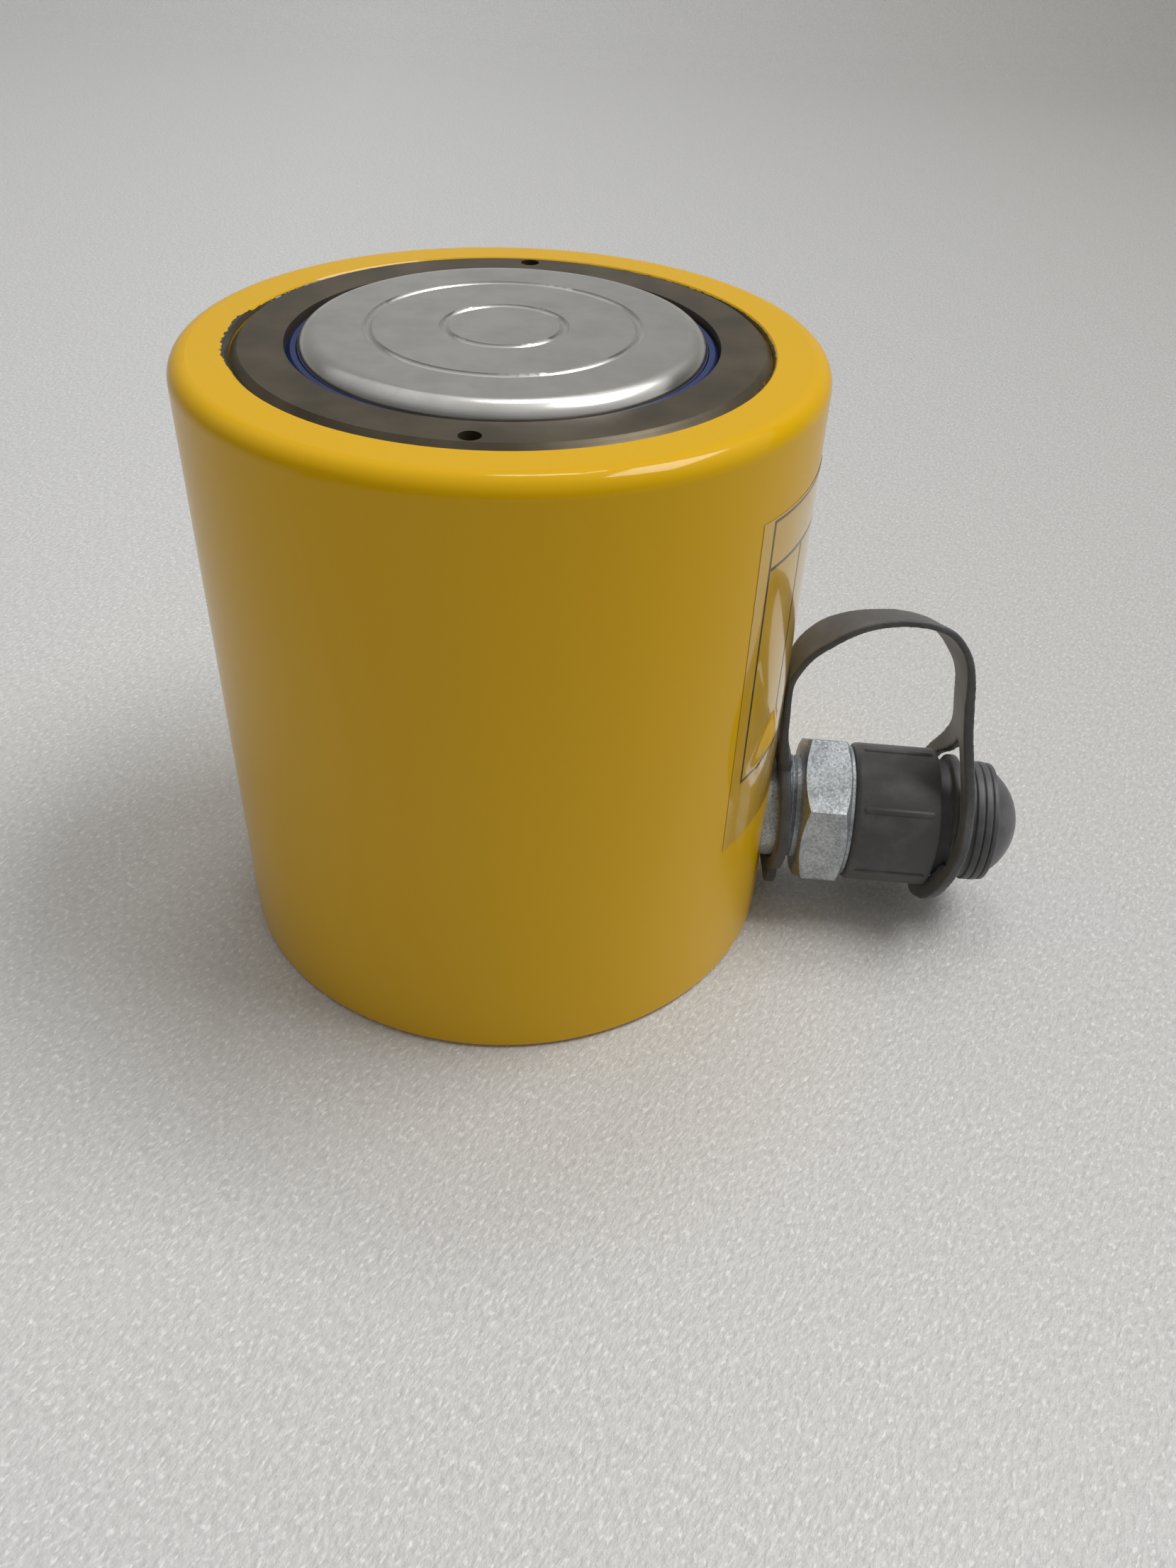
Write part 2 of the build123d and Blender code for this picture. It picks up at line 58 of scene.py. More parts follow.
def linearFromHex(hexText):
    channels = [int(hexText[i:i + 2], 16) / 255 for i in (1, 3, 5)]
    return (*[c / 12.92 if c <= 0.04045 else ((c + 0.055) / 1.055) ** 2.4 for c in channels], 1.0)


def addNode(tree, kind, inputs=None, output=0, **settings):
    node = tree.nodes.new(kind)
    for name, value in settings.items():
        setattr(node, name, value)
    for socket, value in (inputs or {}).items():
        if isinstance(value, bpy.types.NodeSocket):
            tree.links.new(value, node.inputs[socket])
        else:
            node.inputs[socket].default_value = value
    return node.outputs[output]


def newFinish(name, **shaderValues):
    # a material whose patterns are laid out in the object's own millimetres
    finish = bpy.data.materials.new(name)
    finish.use_nodes = True
    tree = finish.node_tree
    shader = tree.nodes["Principled BSDF"]
    for socket, value in shaderValues.items():
        shader.inputs[socket.replace("_", " ")].default_value = value
    place = addNode(tree, "ShaderNodeTexCoord", output="Object")
    place = addNode(tree, "ShaderNodeVectorMath", {0: place, "Scale": 1 / mm}, operation="SCALE")
    return finish, tree, shader.inputs, place


def aroundAxis(tree, place):
    # radius, outward direction and height about the plunger's axis
    flat = addNode(tree, "ShaderNodeVectorMath", {0: place, 1: (1, 1, 0)}, operation="MULTIPLY")
    radius = addNode(tree, "ShaderNodeVectorMath", {0: flat}, "Value", operation="LENGTH")
    outward = addNode(tree, "ShaderNodeVectorMath", {0: flat}, operation="NORMALIZE")
    height = addNode(tree, "ShaderNodeVectorMath", {0: place, 1: (0, 0, 1)}, "Value", operation="DOT_PRODUCT")
    return radius, outward, height


def sector(tree, outward, middle, halfWidth, fade):
    # 1 inside a sector about the plunger's axis, given in degrees, and 0 beyond its fade
    towards = (math.cos(math.radians(middle)), math.sin(math.radians(middle)), 0)
    facing = addNode(tree, "ShaderNodeVectorMath", {0: outward, 1: towards}, "Value", operation="DOT_PRODUCT")
    outer, inner = (math.cos(math.radians(angle)) for angle in (halfWidth + fade, halfWidth))
    ends = {"Value": facing, "From Min": outer, "From Max": inner}
    return addNode(tree, "ShaderNodeMapRange", ends, interpolation_type="SMOOTHSTEP")


# yellow machine enamel, sprayed on turned steel: even and glossy with a faint orange peel,
# chipped at the bore's mouth. A sector is (middle, half width, fade) in degrees
enamel = {
    "colour": "#E7B500", "deep": "#E1AE00", "toneMm": 60.0, "gleam": "#FFC83C", "roughness": 0.4, "coat": 0.5,
    "peelMm": 1.7, "peelDepthMm": 0.01, "steel": "#39342B", "paintedGlintSteel": "#B9B4A8",
    "chipMm": 1.3, "edgeRadiusMm": 41.45, "leastReachMm": 0.45, "addedReachMm": 1.7, "chipEdgeMm": 0.08,
    "chipDepth": 6.0, "topFromMm": 105.5, "topToMm": 106.2, "worst": (190, 8, 12), "bright": (140, 20, 10),
}


def makeEnamel():
    finish, tree, shader, place = newFinish(
        "sprayedYellowEnamel", Roughness=enamel["roughness"], Specular_IOR_Level=0.08,
        Specular_Tint=linearFromHex(enamel["gleam"]), Coat_Weight=enamel["coat"], Coat_Roughness=0.08,
    )
    radius, outward, height = aroundAxis(tree, place)
    tone = {"Vector": place, "Scale": 1 / enamel["toneMm"], "Detail": 1.0}
    tone = addNode(tree, "ShaderNodeTexNoise", tone)
    tones = {0: tone, 6: linearFromHex(enamel["deep"]), 7: linearFromHex(enamel["colour"])}
    colour = addNode(tree, "ShaderNodeMix", tones, 2, data_type="RGBA")
    # the chips reach out from the ring's seat, furthest on the left
    ragged = {"Vector": place, "Scale": 1 / enamel["chipMm"], "Detail": 4.0, "Roughness": 0.6}
    ragged = addNode(tree, "ShaderNodeTexNoise", ragged)
    reach = {0: sector(tree, outward, *enamel["worst"]), 1: enamel["addedReachMm"], 2: enamel["leastReachMm"]}
    reach = addNode(tree, "ShaderNodeMath", reach, operation="MULTIPLY_ADD")
    reach = addNode(tree, "ShaderNodeMath", {0: reach, 1: ragged}, operation="MULTIPLY")
    edge = addNode(tree, "ShaderNodeMath", {0: radius, 1: enamel["edgeRadiusMm"]}, operation="SUBTRACT")
    chip = addNode(tree, "ShaderNodeMath", {0: reach, 1: edge}, operation="SUBTRACT")
    chip = {"Value": chip, "From Max": enamel["chipEdgeMm"]}
    chip = addNode(tree, "ShaderNodeMapRange", chip, interpolation_type="SMOOTHSTEP")
    onTop = {"Value": height, "From Min": enamel["topFromMm"], "From Max": enamel["topToMm"]}
    onTop = addNode(tree, "ShaderNodeMapRange", onTop)
    chip = addNode(tree, "ShaderNodeMath", {0: chip, 1: onTop}, operation="MULTIPLY")
    # painted glint: in a sector at the back left, the chips' bare steel is painted paler, standing in for a
    # highlight
    paintedGlint = addNode(tree, "ShaderNodeMapRange", {"Value": ragged, "From Min": 0.46, "From Max": 0.6})
    paintedGlint = {0: paintedGlint, 1: sector(tree, outward, *enamel["bright"])}
    paintedGlint = addNode(tree, "ShaderNodeMath", paintedGlint, operation="MULTIPLY")
    steels = {0: paintedGlint, 6: linearFromHex(enamel["steel"]), 7: linearFromHex(enamel["paintedGlintSteel"])}
    steel = addNode(tree, "ShaderNodeMix", steels, 2, data_type="RGBA")
    colour = addNode(tree, "ShaderNodeMix", {0: chip, 6: colour, 7: steel}, 2, data_type="RGBA")
    tree.links.new(colour, shader["Base Color"])
    peel = {"Vector": place, "Scale": 1 / enamel["peelMm"], "Detail": 2.0}
    relief = {0: chip, 1: -enamel["chipDepth"], 2: addNode(tree, "ShaderNodeTexNoise", peel)}
    relief = addNode(tree, "ShaderNodeMath", relief, operation="MULTIPLY_ADD")
    relief = {"Height": relief, "Distance": enamel["peelDepthMm"] * mm, "Strength": 1.0}
    tree.links.new(addNode(tree, "ShaderNodeBump", relief), shader["Normal"])
    return finish


# black-oxide steel, turned: a brownish black with the lathe's fine rings, and enamel overspray on its
# chamfer; the turning is 0.2 mm on the real one, drawn coarser so that it shows
blackOxide = {
    "colour": "#524A3B", "worn": "#685E4C", "cloudMm": 9.0, "roughness": 0.4, "turnPitchMm": 0.55,
    "turnDepthMm": 0.006, "overspray": "#A87F10", "painted": (24, 42, 16),
    "sprayFromMm": 41.7, "sprayToMm": 42.0, "sprayRaggedMm": 1.5, "sprayScale": 0.45,
}


def makeBlackOxide():
    finish, tree, shader, place = newFinish(
        "turnedBlackOxideSteel", Metallic=0.6, Roughness=blackOxide["roughness"]
    )
    radius, outward, _ = aroundAxis(tree, place)
    cloud = {"Vector": place, "Scale": 1 / blackOxide["cloudMm"], "Detail": 4.0}
    cloud = addNode(tree, "ShaderNodeTexNoise", cloud)
    cloud = addNode(tree, "ShaderNodeMapRange", {"Value": cloud, "From Min": 0.35, "From Max": 0.7})
    tones = {0: cloud, 6: linearFromHex(blackOxide["colour"]), 7: linearFromHex(blackOxide["worn"])}
    colour = addNode(tree, "ShaderNodeMix", tones, 2, data_type="RGBA")
    ragged = {"Vector": place, "Scale": blackOxide["sprayScale"], "Detail": 4.0, "Roughness": 0.6}
    ragged = addNode(tree, "ShaderNodeTexNoise", ragged)
    spray = {0: ragged, 1: blackOxide["sprayRaggedMm"], 2: radius}
    spray = addNode(tree, "ShaderNodeMath", spray, operation="MULTIPLY_ADD")
    spray = {"Value": spray, "From Min": blackOxide["sprayFromMm"], "From Max": blackOxide["sprayToMm"]}
    spray = {0: addNode(tree, "ShaderNodeMapRange", spray), 1: sector(tree, outward, *blackOxide["painted"])}
    spray = addNode(tree, "ShaderNodeMath", spray, operation="MULTIPLY")
    coat = {0: spray, 6: colour, 7: linearFromHex(blackOxide["overspray"])}
    tree.links.new(addNode(tree, "ShaderNodeMix", coat, 2, data_type="RGBA"), shader["Base Color"])
    turned = {"Vector": place, "Scale": waveScale / blackOxide["turnPitchMm"], "Distortion": 0.4}
    turned = addNode(tree, "ShaderNodeTexWave", turned, "Fac", wave_type="RINGS", rings_direction="Z")
    relief = {"Height": turned, "Distance": blackOxide["turnDepthMm"] * mm, "Strength": 0.6}
    tree.links.new(addNode(tree, "ShaderNodeBump", relief), shader["Normal"])
    return finish


# hard chrome, ground and faced in a lathe: bright, with a turned centre, faint smears and a few fine
# scratches; the turning is 0.1 mm on the real one, drawn coarser so that it shows
hardChrome = {
    "colour": "#F0EEEA", "smear": "#D6D3CE", "smearMm": 9.0, "roughness": 0.19, "smearRoughness": 0.29,
    "topFromMm": 106.0, "topToMm": 108.4, "turnPitchMm": 0.42, "turnDepthMm": 0.008,
    "centreFromMm": 8.6, "centreToMm": 9.4, "outerTurning": 0.18,
    "scratchDepth": 0.7, "scratchTurn": 0.7, "scratchStretch": (0.05, 2.2, 0.05),
}


def makeHardChrome():
    finish, tree, shader, place = newFinish("turnedHardChrome", Metallic=1.0)
    radius, _, height = aroundAxis(tree, place)
    smear = {"Vector": place, "Scale": 1 / hardChrome["smearMm"], "Detail": 5.0, "Roughness": 0.6}
    smear = addNode(tree, "ShaderNodeTexNoise", smear)
    smear = addNode(tree, "ShaderNodeMapRange", {"Value": smear, "From Min": 0.4, "From Max": 0.75})
    # the ground side runs through the wiper and stays clean
    onTop = {"Value": height, "From Min": hardChrome["topFromMm"], "From Max": hardChrome["topToMm"]}
    onTop = addNode(tree, "ShaderNodeMapRange", onTop)
    smear = addNode(tree, "ShaderNodeMath", {0: smear, 1: onTop}, operation="MULTIPLY")
    tones = {0: smear, 6: linearFromHex(hardChrome["colour"]), 7: linearFromHex(hardChrome["smear"])}
    tree.links.new(addNode(tree, "ShaderNodeMix", tones, 2, data_type="RGBA"), shader["Base Color"])
    gloss = {"Value": smear, "To Min": hardChrome["roughness"], "To Max": hardChrome["smearRoughness"]}
    tree.links.new(addNode(tree, "ShaderNodeMapRange", gloss), shader["Roughness"])
    turned = {"Vector": place, "Scale": waveScale / hardChrome["turnPitchMm"]}
    turned = addNode(tree, "ShaderNodeTexWave", turned, "Fac", wave_type="RINGS", rings_direction="Z")
    inCentre = {"Value": radius, "From Min": hardChrome["centreFromMm"], "From Max": hardChrome["centreToMm"]}
    inCentre |= {"To Min": 1.0, "To Max": hardChrome["outerTurning"]}
    inCentre = addNode(tree, "ShaderNodeMapRange", inCentre)
    turned = addNode(tree, "ShaderNodeMath", {0: turned, 1: inCentre}, operation="MULTIPLY")
    drawn = {"Vector": place, "Rotation": (0, 0, hardChrome["scratchTurn"])}
    drawn["Scale"] = hardChrome["scratchStretch"]
    drawn = addNode(tree, "ShaderNodeMapping", drawn)
    scratch = {"Vector": drawn, "Scale": 1.0, "Detail": 6.0, "Roughness": 0.7}
    scratch = addNode(tree, "ShaderNodeTexNoise", scratch)
    scratch = addNode(tree, "ShaderNodeMapRange", {"Value": scratch, "From Min": 0.66, "From Max": 0.72})
    relief = {0: scratch, 1: -hardChrome["scratchDepth"], 2: turned}
    relief = addNode(tree, "ShaderNodeMath", relief, operation="MULTIPLY_ADD")
    relief = {"Height": relief, "Distance": hardChrome["turnDepthMm"] * mm, "Strength": 0.8}
    tree.links.new(addNode(tree, "ShaderNodeBump", relief), shader["Normal"])
    return finish


# bright zinc, barrel plated on turned steel: pale, faintly blue, sparkling from its crystals, which are
# under 0.1 mm on the real one and drawn coarser so that they show
zincPlate = {
    "colour": "#DDE2E6", "dull": "#A2A7AA", "cloudMm": 5.0, "crystalMm": 0.35, "crystalDepthMm": 0.05,
    "sparkle": 0.35, "leastRoughness": 0.48, "mostRoughness": 0.7,
}


def makeZinc():
    finish, tree, shader, place = newFinish("barrelPlatedZinc", Metallic=1.0)
    cell = {"Vector": place, "Scale": 1 / zincPlate["crystalMm"]}
    facet = addNode(tree, "ShaderNodeTexVoronoi", cell, "Color")
    cloud = {"Vector": place, "Scale": 1 / zincPlate["cloudMm"], "Detail": 4.0}
    cloud = addNode(tree, "ShaderNodeTexNoise", cloud)
    cloud = {0: facet, 1: zincPlate["sparkle"], 2: cloud}
    cloud = addNode(tree, "ShaderNodeMath", cloud, operation="MULTIPLY_ADD")
    cloud = addNode(tree, "ShaderNodeMapRange", {"Value": cloud, "From Min": 0.35, "From Max": 0.95})
    tones = {0: cloud, 6: linearFromHex(zincPlate["colour"]), 7: linearFromHex(zincPlate["dull"])}
    tree.links.new(addNode(tree, "ShaderNodeMix", tones, 2, data_type="RGBA"), shader["Base Color"])
    gloss = {"Value": facet, "To Min": zincPlate["leastRoughness"], "To Max": zincPlate["mostRoughness"]}
    tree.links.new(addNode(tree, "ShaderNodeMapRange", gloss), shader["Roughness"])
    crystals = addNode(tree, "ShaderNodeTexNoise", {**cell, "Detail": 2.0})
    relief = {"Height": crystals, "Distance": zincPlate["crystalDepthMm"] * mm, "Strength": 0.7}
    tree.links.new(addNode(tree, "ShaderNodeBump", relief), shader["Normal"])
    return finish


# nitrile rubber, moulded: a dull charcoal with the mould's fine tooth, drawn coarser than it is so that it
# shows, and a little pale dust where it is handled
mouldedRubber = {
    "colour": "#484849", "dust": "#5E5E5F", "dustMm": 5.5, "roughness": 0.5,
    "toothMm": 0.5, "toothDepthMm": 0.02,
}


def makeRubber():
    finish, tree, shader, place = newFinish(
        "mouldedNitrileRubber", Roughness=mouldedRubber["roughness"], Sheen_Weight=0.2, Sheen_Roughness=0.5
    )
    dust = {"Vector": place, "Scale": 1 / mouldedRubber["dustMm"], "Detail": 4.0, "Roughness": 0.6}
    dust = addNode(tree, "ShaderNodeTexNoise", dust)
    dust = addNode(tree, "ShaderNodeMapRange", {"Value": dust, "From Min": 0.45, "From Max": 0.75})
    tones = {0: dust, 6: linearFromHex(mouldedRubber["colour"]), 7: linearFromHex(mouldedRubber["dust"])}
    tree.links.new(addNode(tree, "ShaderNodeMix", tones, 2, data_type="RGBA"), shader["Base Color"])
    tooth = {"Vector": place, "Scale": 1 / mouldedRubber["toothMm"], "Detail": 3.0}
    tooth = addNode(tree, "ShaderNodeTexNoise", tooth)
    relief = {"Height": tooth, "Distance": mouldedRubber["toothDepthMm"] * mm, "Strength": 0.6}
    tree.links.new(addNode(tree, "ShaderNodeBump", relief), shader["Normal"])
    return finish


# the pieces inside: name, light and dark tone, metallic, roughness, and the size in mm of the marks that
# its making left
innerFinishes = {
    "blue_polyurethane": ("castBluePolyurethane", "#1A3068", "#152650", 0.0, 0.45, 3.0),
    "bronze": ("turnedBronze", "#A07A45", "#8A6636", 1.0, 0.3, 1.2),
    "plain_steel": ("turnedOiledSteel", "#8C8B88", "#76746F", 1.0, 0.32, 1.4),
    "spring_steel": ("drawnSpringWire", "#5C5B59", "#484745", 1.0, 0.35, 0.8),
    "black_nitrile": ("groundNitrileRubber", "#232323", "#333333", 0.0, 0.55, 0.6),
    "filled_nylon": ("turnedNylon", "#CFC8B4", "#BDB59E", 0.0, 0.5, 2.0),
    "polished_ball_steel": ("lappedBearingSteel", "#B5B4B0", "#A5A4A0", 1.0, 0.12, 2.5),
}
innerMarkDepthMm = 0.01


def makeInner(name, light, dark, metallic, roughness, markMm):
    finish, tree, shader, place = newFinish(name, Metallic=metallic, Roughness=roughness)
    mark = addNode(tree, "ShaderNodeTexNoise", {"Vector": place, "Scale": 1 / markMm, "Detail": 4.0})
    tones = {0: mark, 6: linearFromHex(light), 7: linearFromHex(dark)}
    tree.links.new(addNode(tree, "ShaderNodeMix", tones, 2, data_type="RGBA"), shader["Base Color"])
    relief = {"Height": mark, "Distance": innerMarkDepthMm * mm, "Strength": 0.5}
    tree.links.new(addNode(tree, "ShaderNodeBump", relief), shader["Normal"])
    return finish


# clear vinyl film laid over the enamel: the same yellow, paler and glossier, blank inside its printed
# frame lines. Places on it are azimuths in degrees and heights in mm
label = {
    "azimuths": (-35.6, 35.6), "heights": (31.8, 93.0), "standOff": 0.06, "stepDegrees": 0.75, "stepMm": 0.7,
    "pale": "#DDB02E", "yellow": "#D8A80A", "hazeScale": 0.11, "rippleScale": 0.12, "rippleDepthMm": 0.06,
    "ink": "#2B2619", "fadedInk": "#3A3424", "inkScale": 0.8, "inkLift": 0.03, "lineWidth": 0.45,
    "frame": (-32.4, 32.4), "frameHeights": (44.9, 92.6), "divider": 84.3, "column": -19.2,
    "fold": {"from": (-19.5, 52.0), "to": (-26.0, 46.6), "halfWidth": 2.4, "height": 1.2, "reach": 0.85},
}


def makeFilmFinish():
    finish, tree, shader, place = newFinish(
        "clearVinylOverEnamel", Roughness=0.22, Specular_IOR_Level=0.4, Coat_Weight=1.0, Coat_Roughness=0.05
    )
    haze = addNode(tree, "ShaderNodeTexNoise", {"Vector": place, "Scale": label["hazeScale"], "Detail": 3.0})
    haze = addNode(tree, "ShaderNodeMapRange", {"Value": haze, "From Min": 0.35, "From Max": 0.65})
    tones = {0: haze, 6: linearFromHex(label["yellow"]), 7: linearFromHex(label["pale"])}
    tree.links.new(addNode(tree, "ShaderNodeMix", tones, 2, data_type="RGBA"), shader["Base Color"])
    ripple = {"Vector": place, "Scale": label["rippleScale"], "Detail": 2.0}
    ripple = addNode(tree, "ShaderNodeTexNoise", ripple)
    relief = {"Height": ripple, "Distance": label["rippleDepthMm"] * mm, "Strength": 0.6}
    tree.links.new(addNode(tree, "ShaderNodeBump", relief), shader["Normal"])
    return finish


def makeInk():
    finish, tree, shader, place = newFinish(
        "printedFilmInk", Roughness=0.3, Coat_Weight=1.0, Coat_Roughness=0.06
    )
    patchy = addNode(tree, "ShaderNodeTexNoise", {"Vector": place, "Scale": label["inkScale"], "Detail": 3.0})
    tones = {0: patchy, 6: linearFromHex(label["ink"]), 7: linearFromHex(label["fadedInk"])}
    tree.links.new(addNode(tree, "ShaderNodeMix", tones, 2, data_type="RGBA"), shader["Base Color"])
    return finish


print("finishes")
finishes = {
    "yellow_enamel": makeEnamel(),
    "blackened_steel": makeBlackOxide(),
    "hard_chrome": makeHardChrome(),
    "zinc_plated_steel": makeZinc(),
    "moulded_rubber": makeRubber(),
}
for slotName, values in innerFinishes.items():
    finishes[slotName] = makeInner(*values)
for part in frame["record"]["subparts"]:
    shown = nodes[part["node"]]
    for slot in shown.material_slots:
        slot.material = finishes[part["material_slot"]]
    if not shown.material_slots:
        shown.data.materials.append(finishes[part["material_slot"]])


def newPiece(name, mesh, finish, body, slotName, *replaced):
    piece = bpy.data.objects.new(name, mesh)
    bpy.context.collection.objects.link(piece)
    piece.data.materials.clear()
    piece.data.materials.append(finish)
    if body:
        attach(piece, body)
    if replaced:
        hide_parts(*replaced)
    return piece


def meshFrom(bm, name):
    for face in bm.faces:
        face.smooth = True
    mesh = bpy.data.meshes.new(name)
    bm.to_mesh(mesh)
    bm.free()
    return mesh


# the dust cap, turned about the coupler's axis: (x, radius, rounding) of each corner, in mm
cap = {
    "corners": [
        (80.4, 0.0, 0), (80.4, 11.35, 0.3), (66.0, 11.35, 0.35), (66.0, 13.2, 0.9), (81.4, 13.2, 0.45),
        (81.4, 11.2, 0.4), (83.9, 11.2, 0.3), (83.95, 12.35, 0.75), (85.75, 12.35, 0.75), (85.8, 11.0, 0.4),
        (88.4, 11.0, 0.3), (88.4, 11.45, 0.35), (89.6, 11.45, 0.2), (89.8, 11.0, 0.15), (90.0, 11.45, 0.2),
        (91.1, 11.4, 0.2), (91.3, 10.9, 0.15), (91.5, 11.3, 0.2), (92.4, 11.2, 0.3), (92.5, 10.55, 0.2),
    ],
    "domeCentreX": 86.0, "domeRadius": 12.0, "domeStartRadius": 10.45, "domeSteps": 24, "sharpDegrees": 50.0,
    # a rib's ends narrow over (inset, share of its radius)
    "ribs": {
        "count": 6, "firstDegrees": 20.0, "fromX": 67.3, "toX": 80.5, "sleeveRadius": 13.2, "radius": 0.75,
        "proud": 0.42, "ends": ((0, 0.35), (0.25, 0.8), (0.6, 1.0)), "sink": 0.2, "sides": 12,
    },
}


def roundedProfile(corners, steps=4):
    points = []
    for index, (x, r, rounding) in enumerate(corners):
        here = Vector((x, r))
        if rounding == 0 or index in (0, len(corners) - 1):
            points.append(here)
            continue
        before = Vector(corners[index - 1][:2]) - here
        after = Vector(corners[index + 1][:2]) - here
        reach = min(rounding, before.length * 0.48, after.length * 0.48)
        start, end = here + before.normalized() * reach, here + after.normalized() * reach
        for step in range(steps + 1):
            t = step / steps
            points.append(start * (1 - t) ** 2 + here * 2 * t * (1 - t) + end * t * t)
    return points


def latheAboutCoupler(bm, points, segments=112):
    rings = []
    for point in points:
        x, r = point
        if r == 0:  # a point on the axis closes the end
            rings.append([bm.verts.new((x * mm, 0, axisHeight * mm))])
            continue
        ring = []
        for k in range(segments):
            turn = math.tau * k / segments
            corner = Vector((x, r * math.sin(turn), axisHeight + r * math.cos(turn)))
            ring.append(bm.verts.new(corner * mm))
        rings.append(ring)
    for first, second in zip(rings, rings[1:]):
        for k in range(segments):
            following = (k + 1) % segments
            if len(first) == 1:
                bm.faces.new((first[0], second[following], second[k]))
            elif len(second) == 1:
                bm.faces.new((first[k], first[following], second[0]))
            else:
                bm.faces.new((first[k], first[following], second[following], second[k]))


def joinLoops(bm, loops):
    # walls between one loop and the next, and a face over each end
    for first, second in zip(loops, loops[1:]):
        for k in range(len(first)):
            following = (k + 1) % len(first)
            bm.faces.new((first[k], first[following], second[following], second[k]))
    bm.faces.new(loops[0])
    bm.faces.new(list(reversed(loops[-1])))


def makeDustCap():
    bm = bmesh.new()
    points = roundedProfile(cap["corners"])
    startAngle = math.asin(cap["domeStartRadius"] / cap["domeRadius"])
    for step in range(cap["domeSteps"] + 1):
        angle = startAngle * (1 - step / cap["domeSteps"])
        outward = Vector((math.cos(angle), math.sin(angle)))
        points.append(Vector((cap["domeCentreX"], 0)) + outward * cap["domeRadius"])
    points[-1].y = 0.0
    latheAboutCoupler(bm, points)
    ribs = cap["ribs"]
    middle = ribs["sleeveRadius"] + ribs["proud"] - ribs["radius"]
    stations = [(ribs["fromX"] + inset, share) for inset, share in ribs["ends"]]
    stations += [(ribs["toX"] - inset, share) for inset, share in reversed(ribs["ends"])]
    for n in range(ribs["count"]):
        turn = math.radians(ribs["firstDegrees"] + 360 / ribs["count"] * n)
        across, up = math.cos(turn), math.sin(turn)
        loops = []
        for along, share in stations:
            loop = []
            for k in range(ribs["sides"]):
                angle = math.tau * k / ribs["sides"]
                side = ribs["radius"] * share * math.cos(angle)
                out = middle + ribs["radius"] * share * math.sin(angle) - (1 - share) * ribs["sink"]
                corner = Vector((along, across * out - up * side, axisHeight + up * out + across * side))
                loop.append(bm.verts.new(corner * mm))
            loops.append(loop)
        joinLoops(bm, loops)
    bmesh.ops.recalc_face_normals(bm, faces=bm.faces)
    mesh = meshFrom(bm, "dustCap")
    mesh.set_sharp_from_angle(angle=math.radians(cap["sharpDegrees"]))
    newPiece("dustCap", mesh, finishes["moulded_rubber"], "cap", "moulded_rubber", "dust_cap")


# the strap, one moulding: (x, height above the coupler's axis) down its near and far edges, in mm
strap = {
    "nearEdge": [
        (52.2, 13.5), (51.7, 18.0), (51.35, 24.0), (51.15, 28.0), (51.3, 31.0), (52.3, 33.6), (54.3, 36.9),
        (57.0, 39.4), (60.4, 42.0), (63.5, 43.6), (67.3, 44.6), (70.4, 44.9), (74.1, 44.5), (77.1, 43.3),
        (79.3, 41.1), (81.0, 38.2), (81.8, 35.6), (82.5, 31.7), (82.95, 28.0),
    ],
    "farEdge": [
        (52.2, 13.5), (51.75, 18.0), (51.5, 24.0), (51.45, 29.0), (52.0, 33.2), (53.8, 36.4), (56.0, 38.6),
        (59.1, 40.2), (62.3, 41.1), (65.5, 41.5), (68.8, 41.6), (72.2, 41.1), (74.9, 40.1), (76.8, 38.6),
        (78.9, 36.1), (80.7, 33.4), (81.7, 31.0), (82.4, 28.0),
    ],
    "halfWidth": 4.6, "samples": 120, "voxel": 0.3, "relaxFactor": 0.5, "relaxSteps": 5,
    "stillUntilX": 53.4, "movesFromX": 79.2,
    # (share of the band's length, thickness)
    "thicknesses": ((0.0, 1.9), (0.1, 1.25), (0.8, 1.25), (1.0, 1.75)),
    # the tab and the band's root are (depth below the coupler's axis, half width)
    "neckRing": {
        "x": 52.3, "inner": 10.25, "outer": 12.6, "thickness": 2.1, "swing": 0.08,
        "tab": ((11.0, 7.0), (12.8, 7.0), (15.6, 5.4)), "root": ((-10.6, 4.6), (-14.0, 4.6)),
    },
}
# the forked plate at its far end: (height, x, swing) from its foot to the band, then what its outer and
# inner outlines need, as angles from the top in degrees, radii, or (y, height)
fork = {
    "middle": [
        (-17.0, 81.5, 0.03), (-13.0, 81.5, 0.05), (-9.0, 81.65, 0.075), (-4.0, 82.35, 0.095), (0.0, 83.15, 0.1),
        (3.0, 83.7, 0.104), (8.0, 84.45, 0.1), (12.0, 84.95, 0.065), (15.0, 84.95, 0.03), (18.0, 84.6, 0.0),
        (21.0, 84.0, 0.0), (24.0, 83.35, 0.01), (28.0, 82.7, 0.05), (30.0, 82.45, 0.06),
    ],
    "thickness": 1.8, "bandHalfWidth": 4.75, "bandEnd": 29.4,
    "flareStart": 60.0, "flareBandPull": (6.3, 22.5), "flareRingPull": (-3.6, 6.4), "flareSteps": 24,
    "outer": 15.9, "outerUntil": 152.0, "tabHalfWidth": 4.0, "tab": 16.3,
    "notchApex": (0.6, 18.4), "notchFoot": 36.0, "notchSteps": 8,
    "innerTop": 12.85, "innerTopUntil": 74.0, "inner": 13.3, "innerFrom": 90.0,
    "lip": {
        "fromDegrees": 98.0, "toDegrees": 195.0, "inner": 11.65, "outer": 13.9, "fromX": 81.6, "inset": 0.05,
    },
}


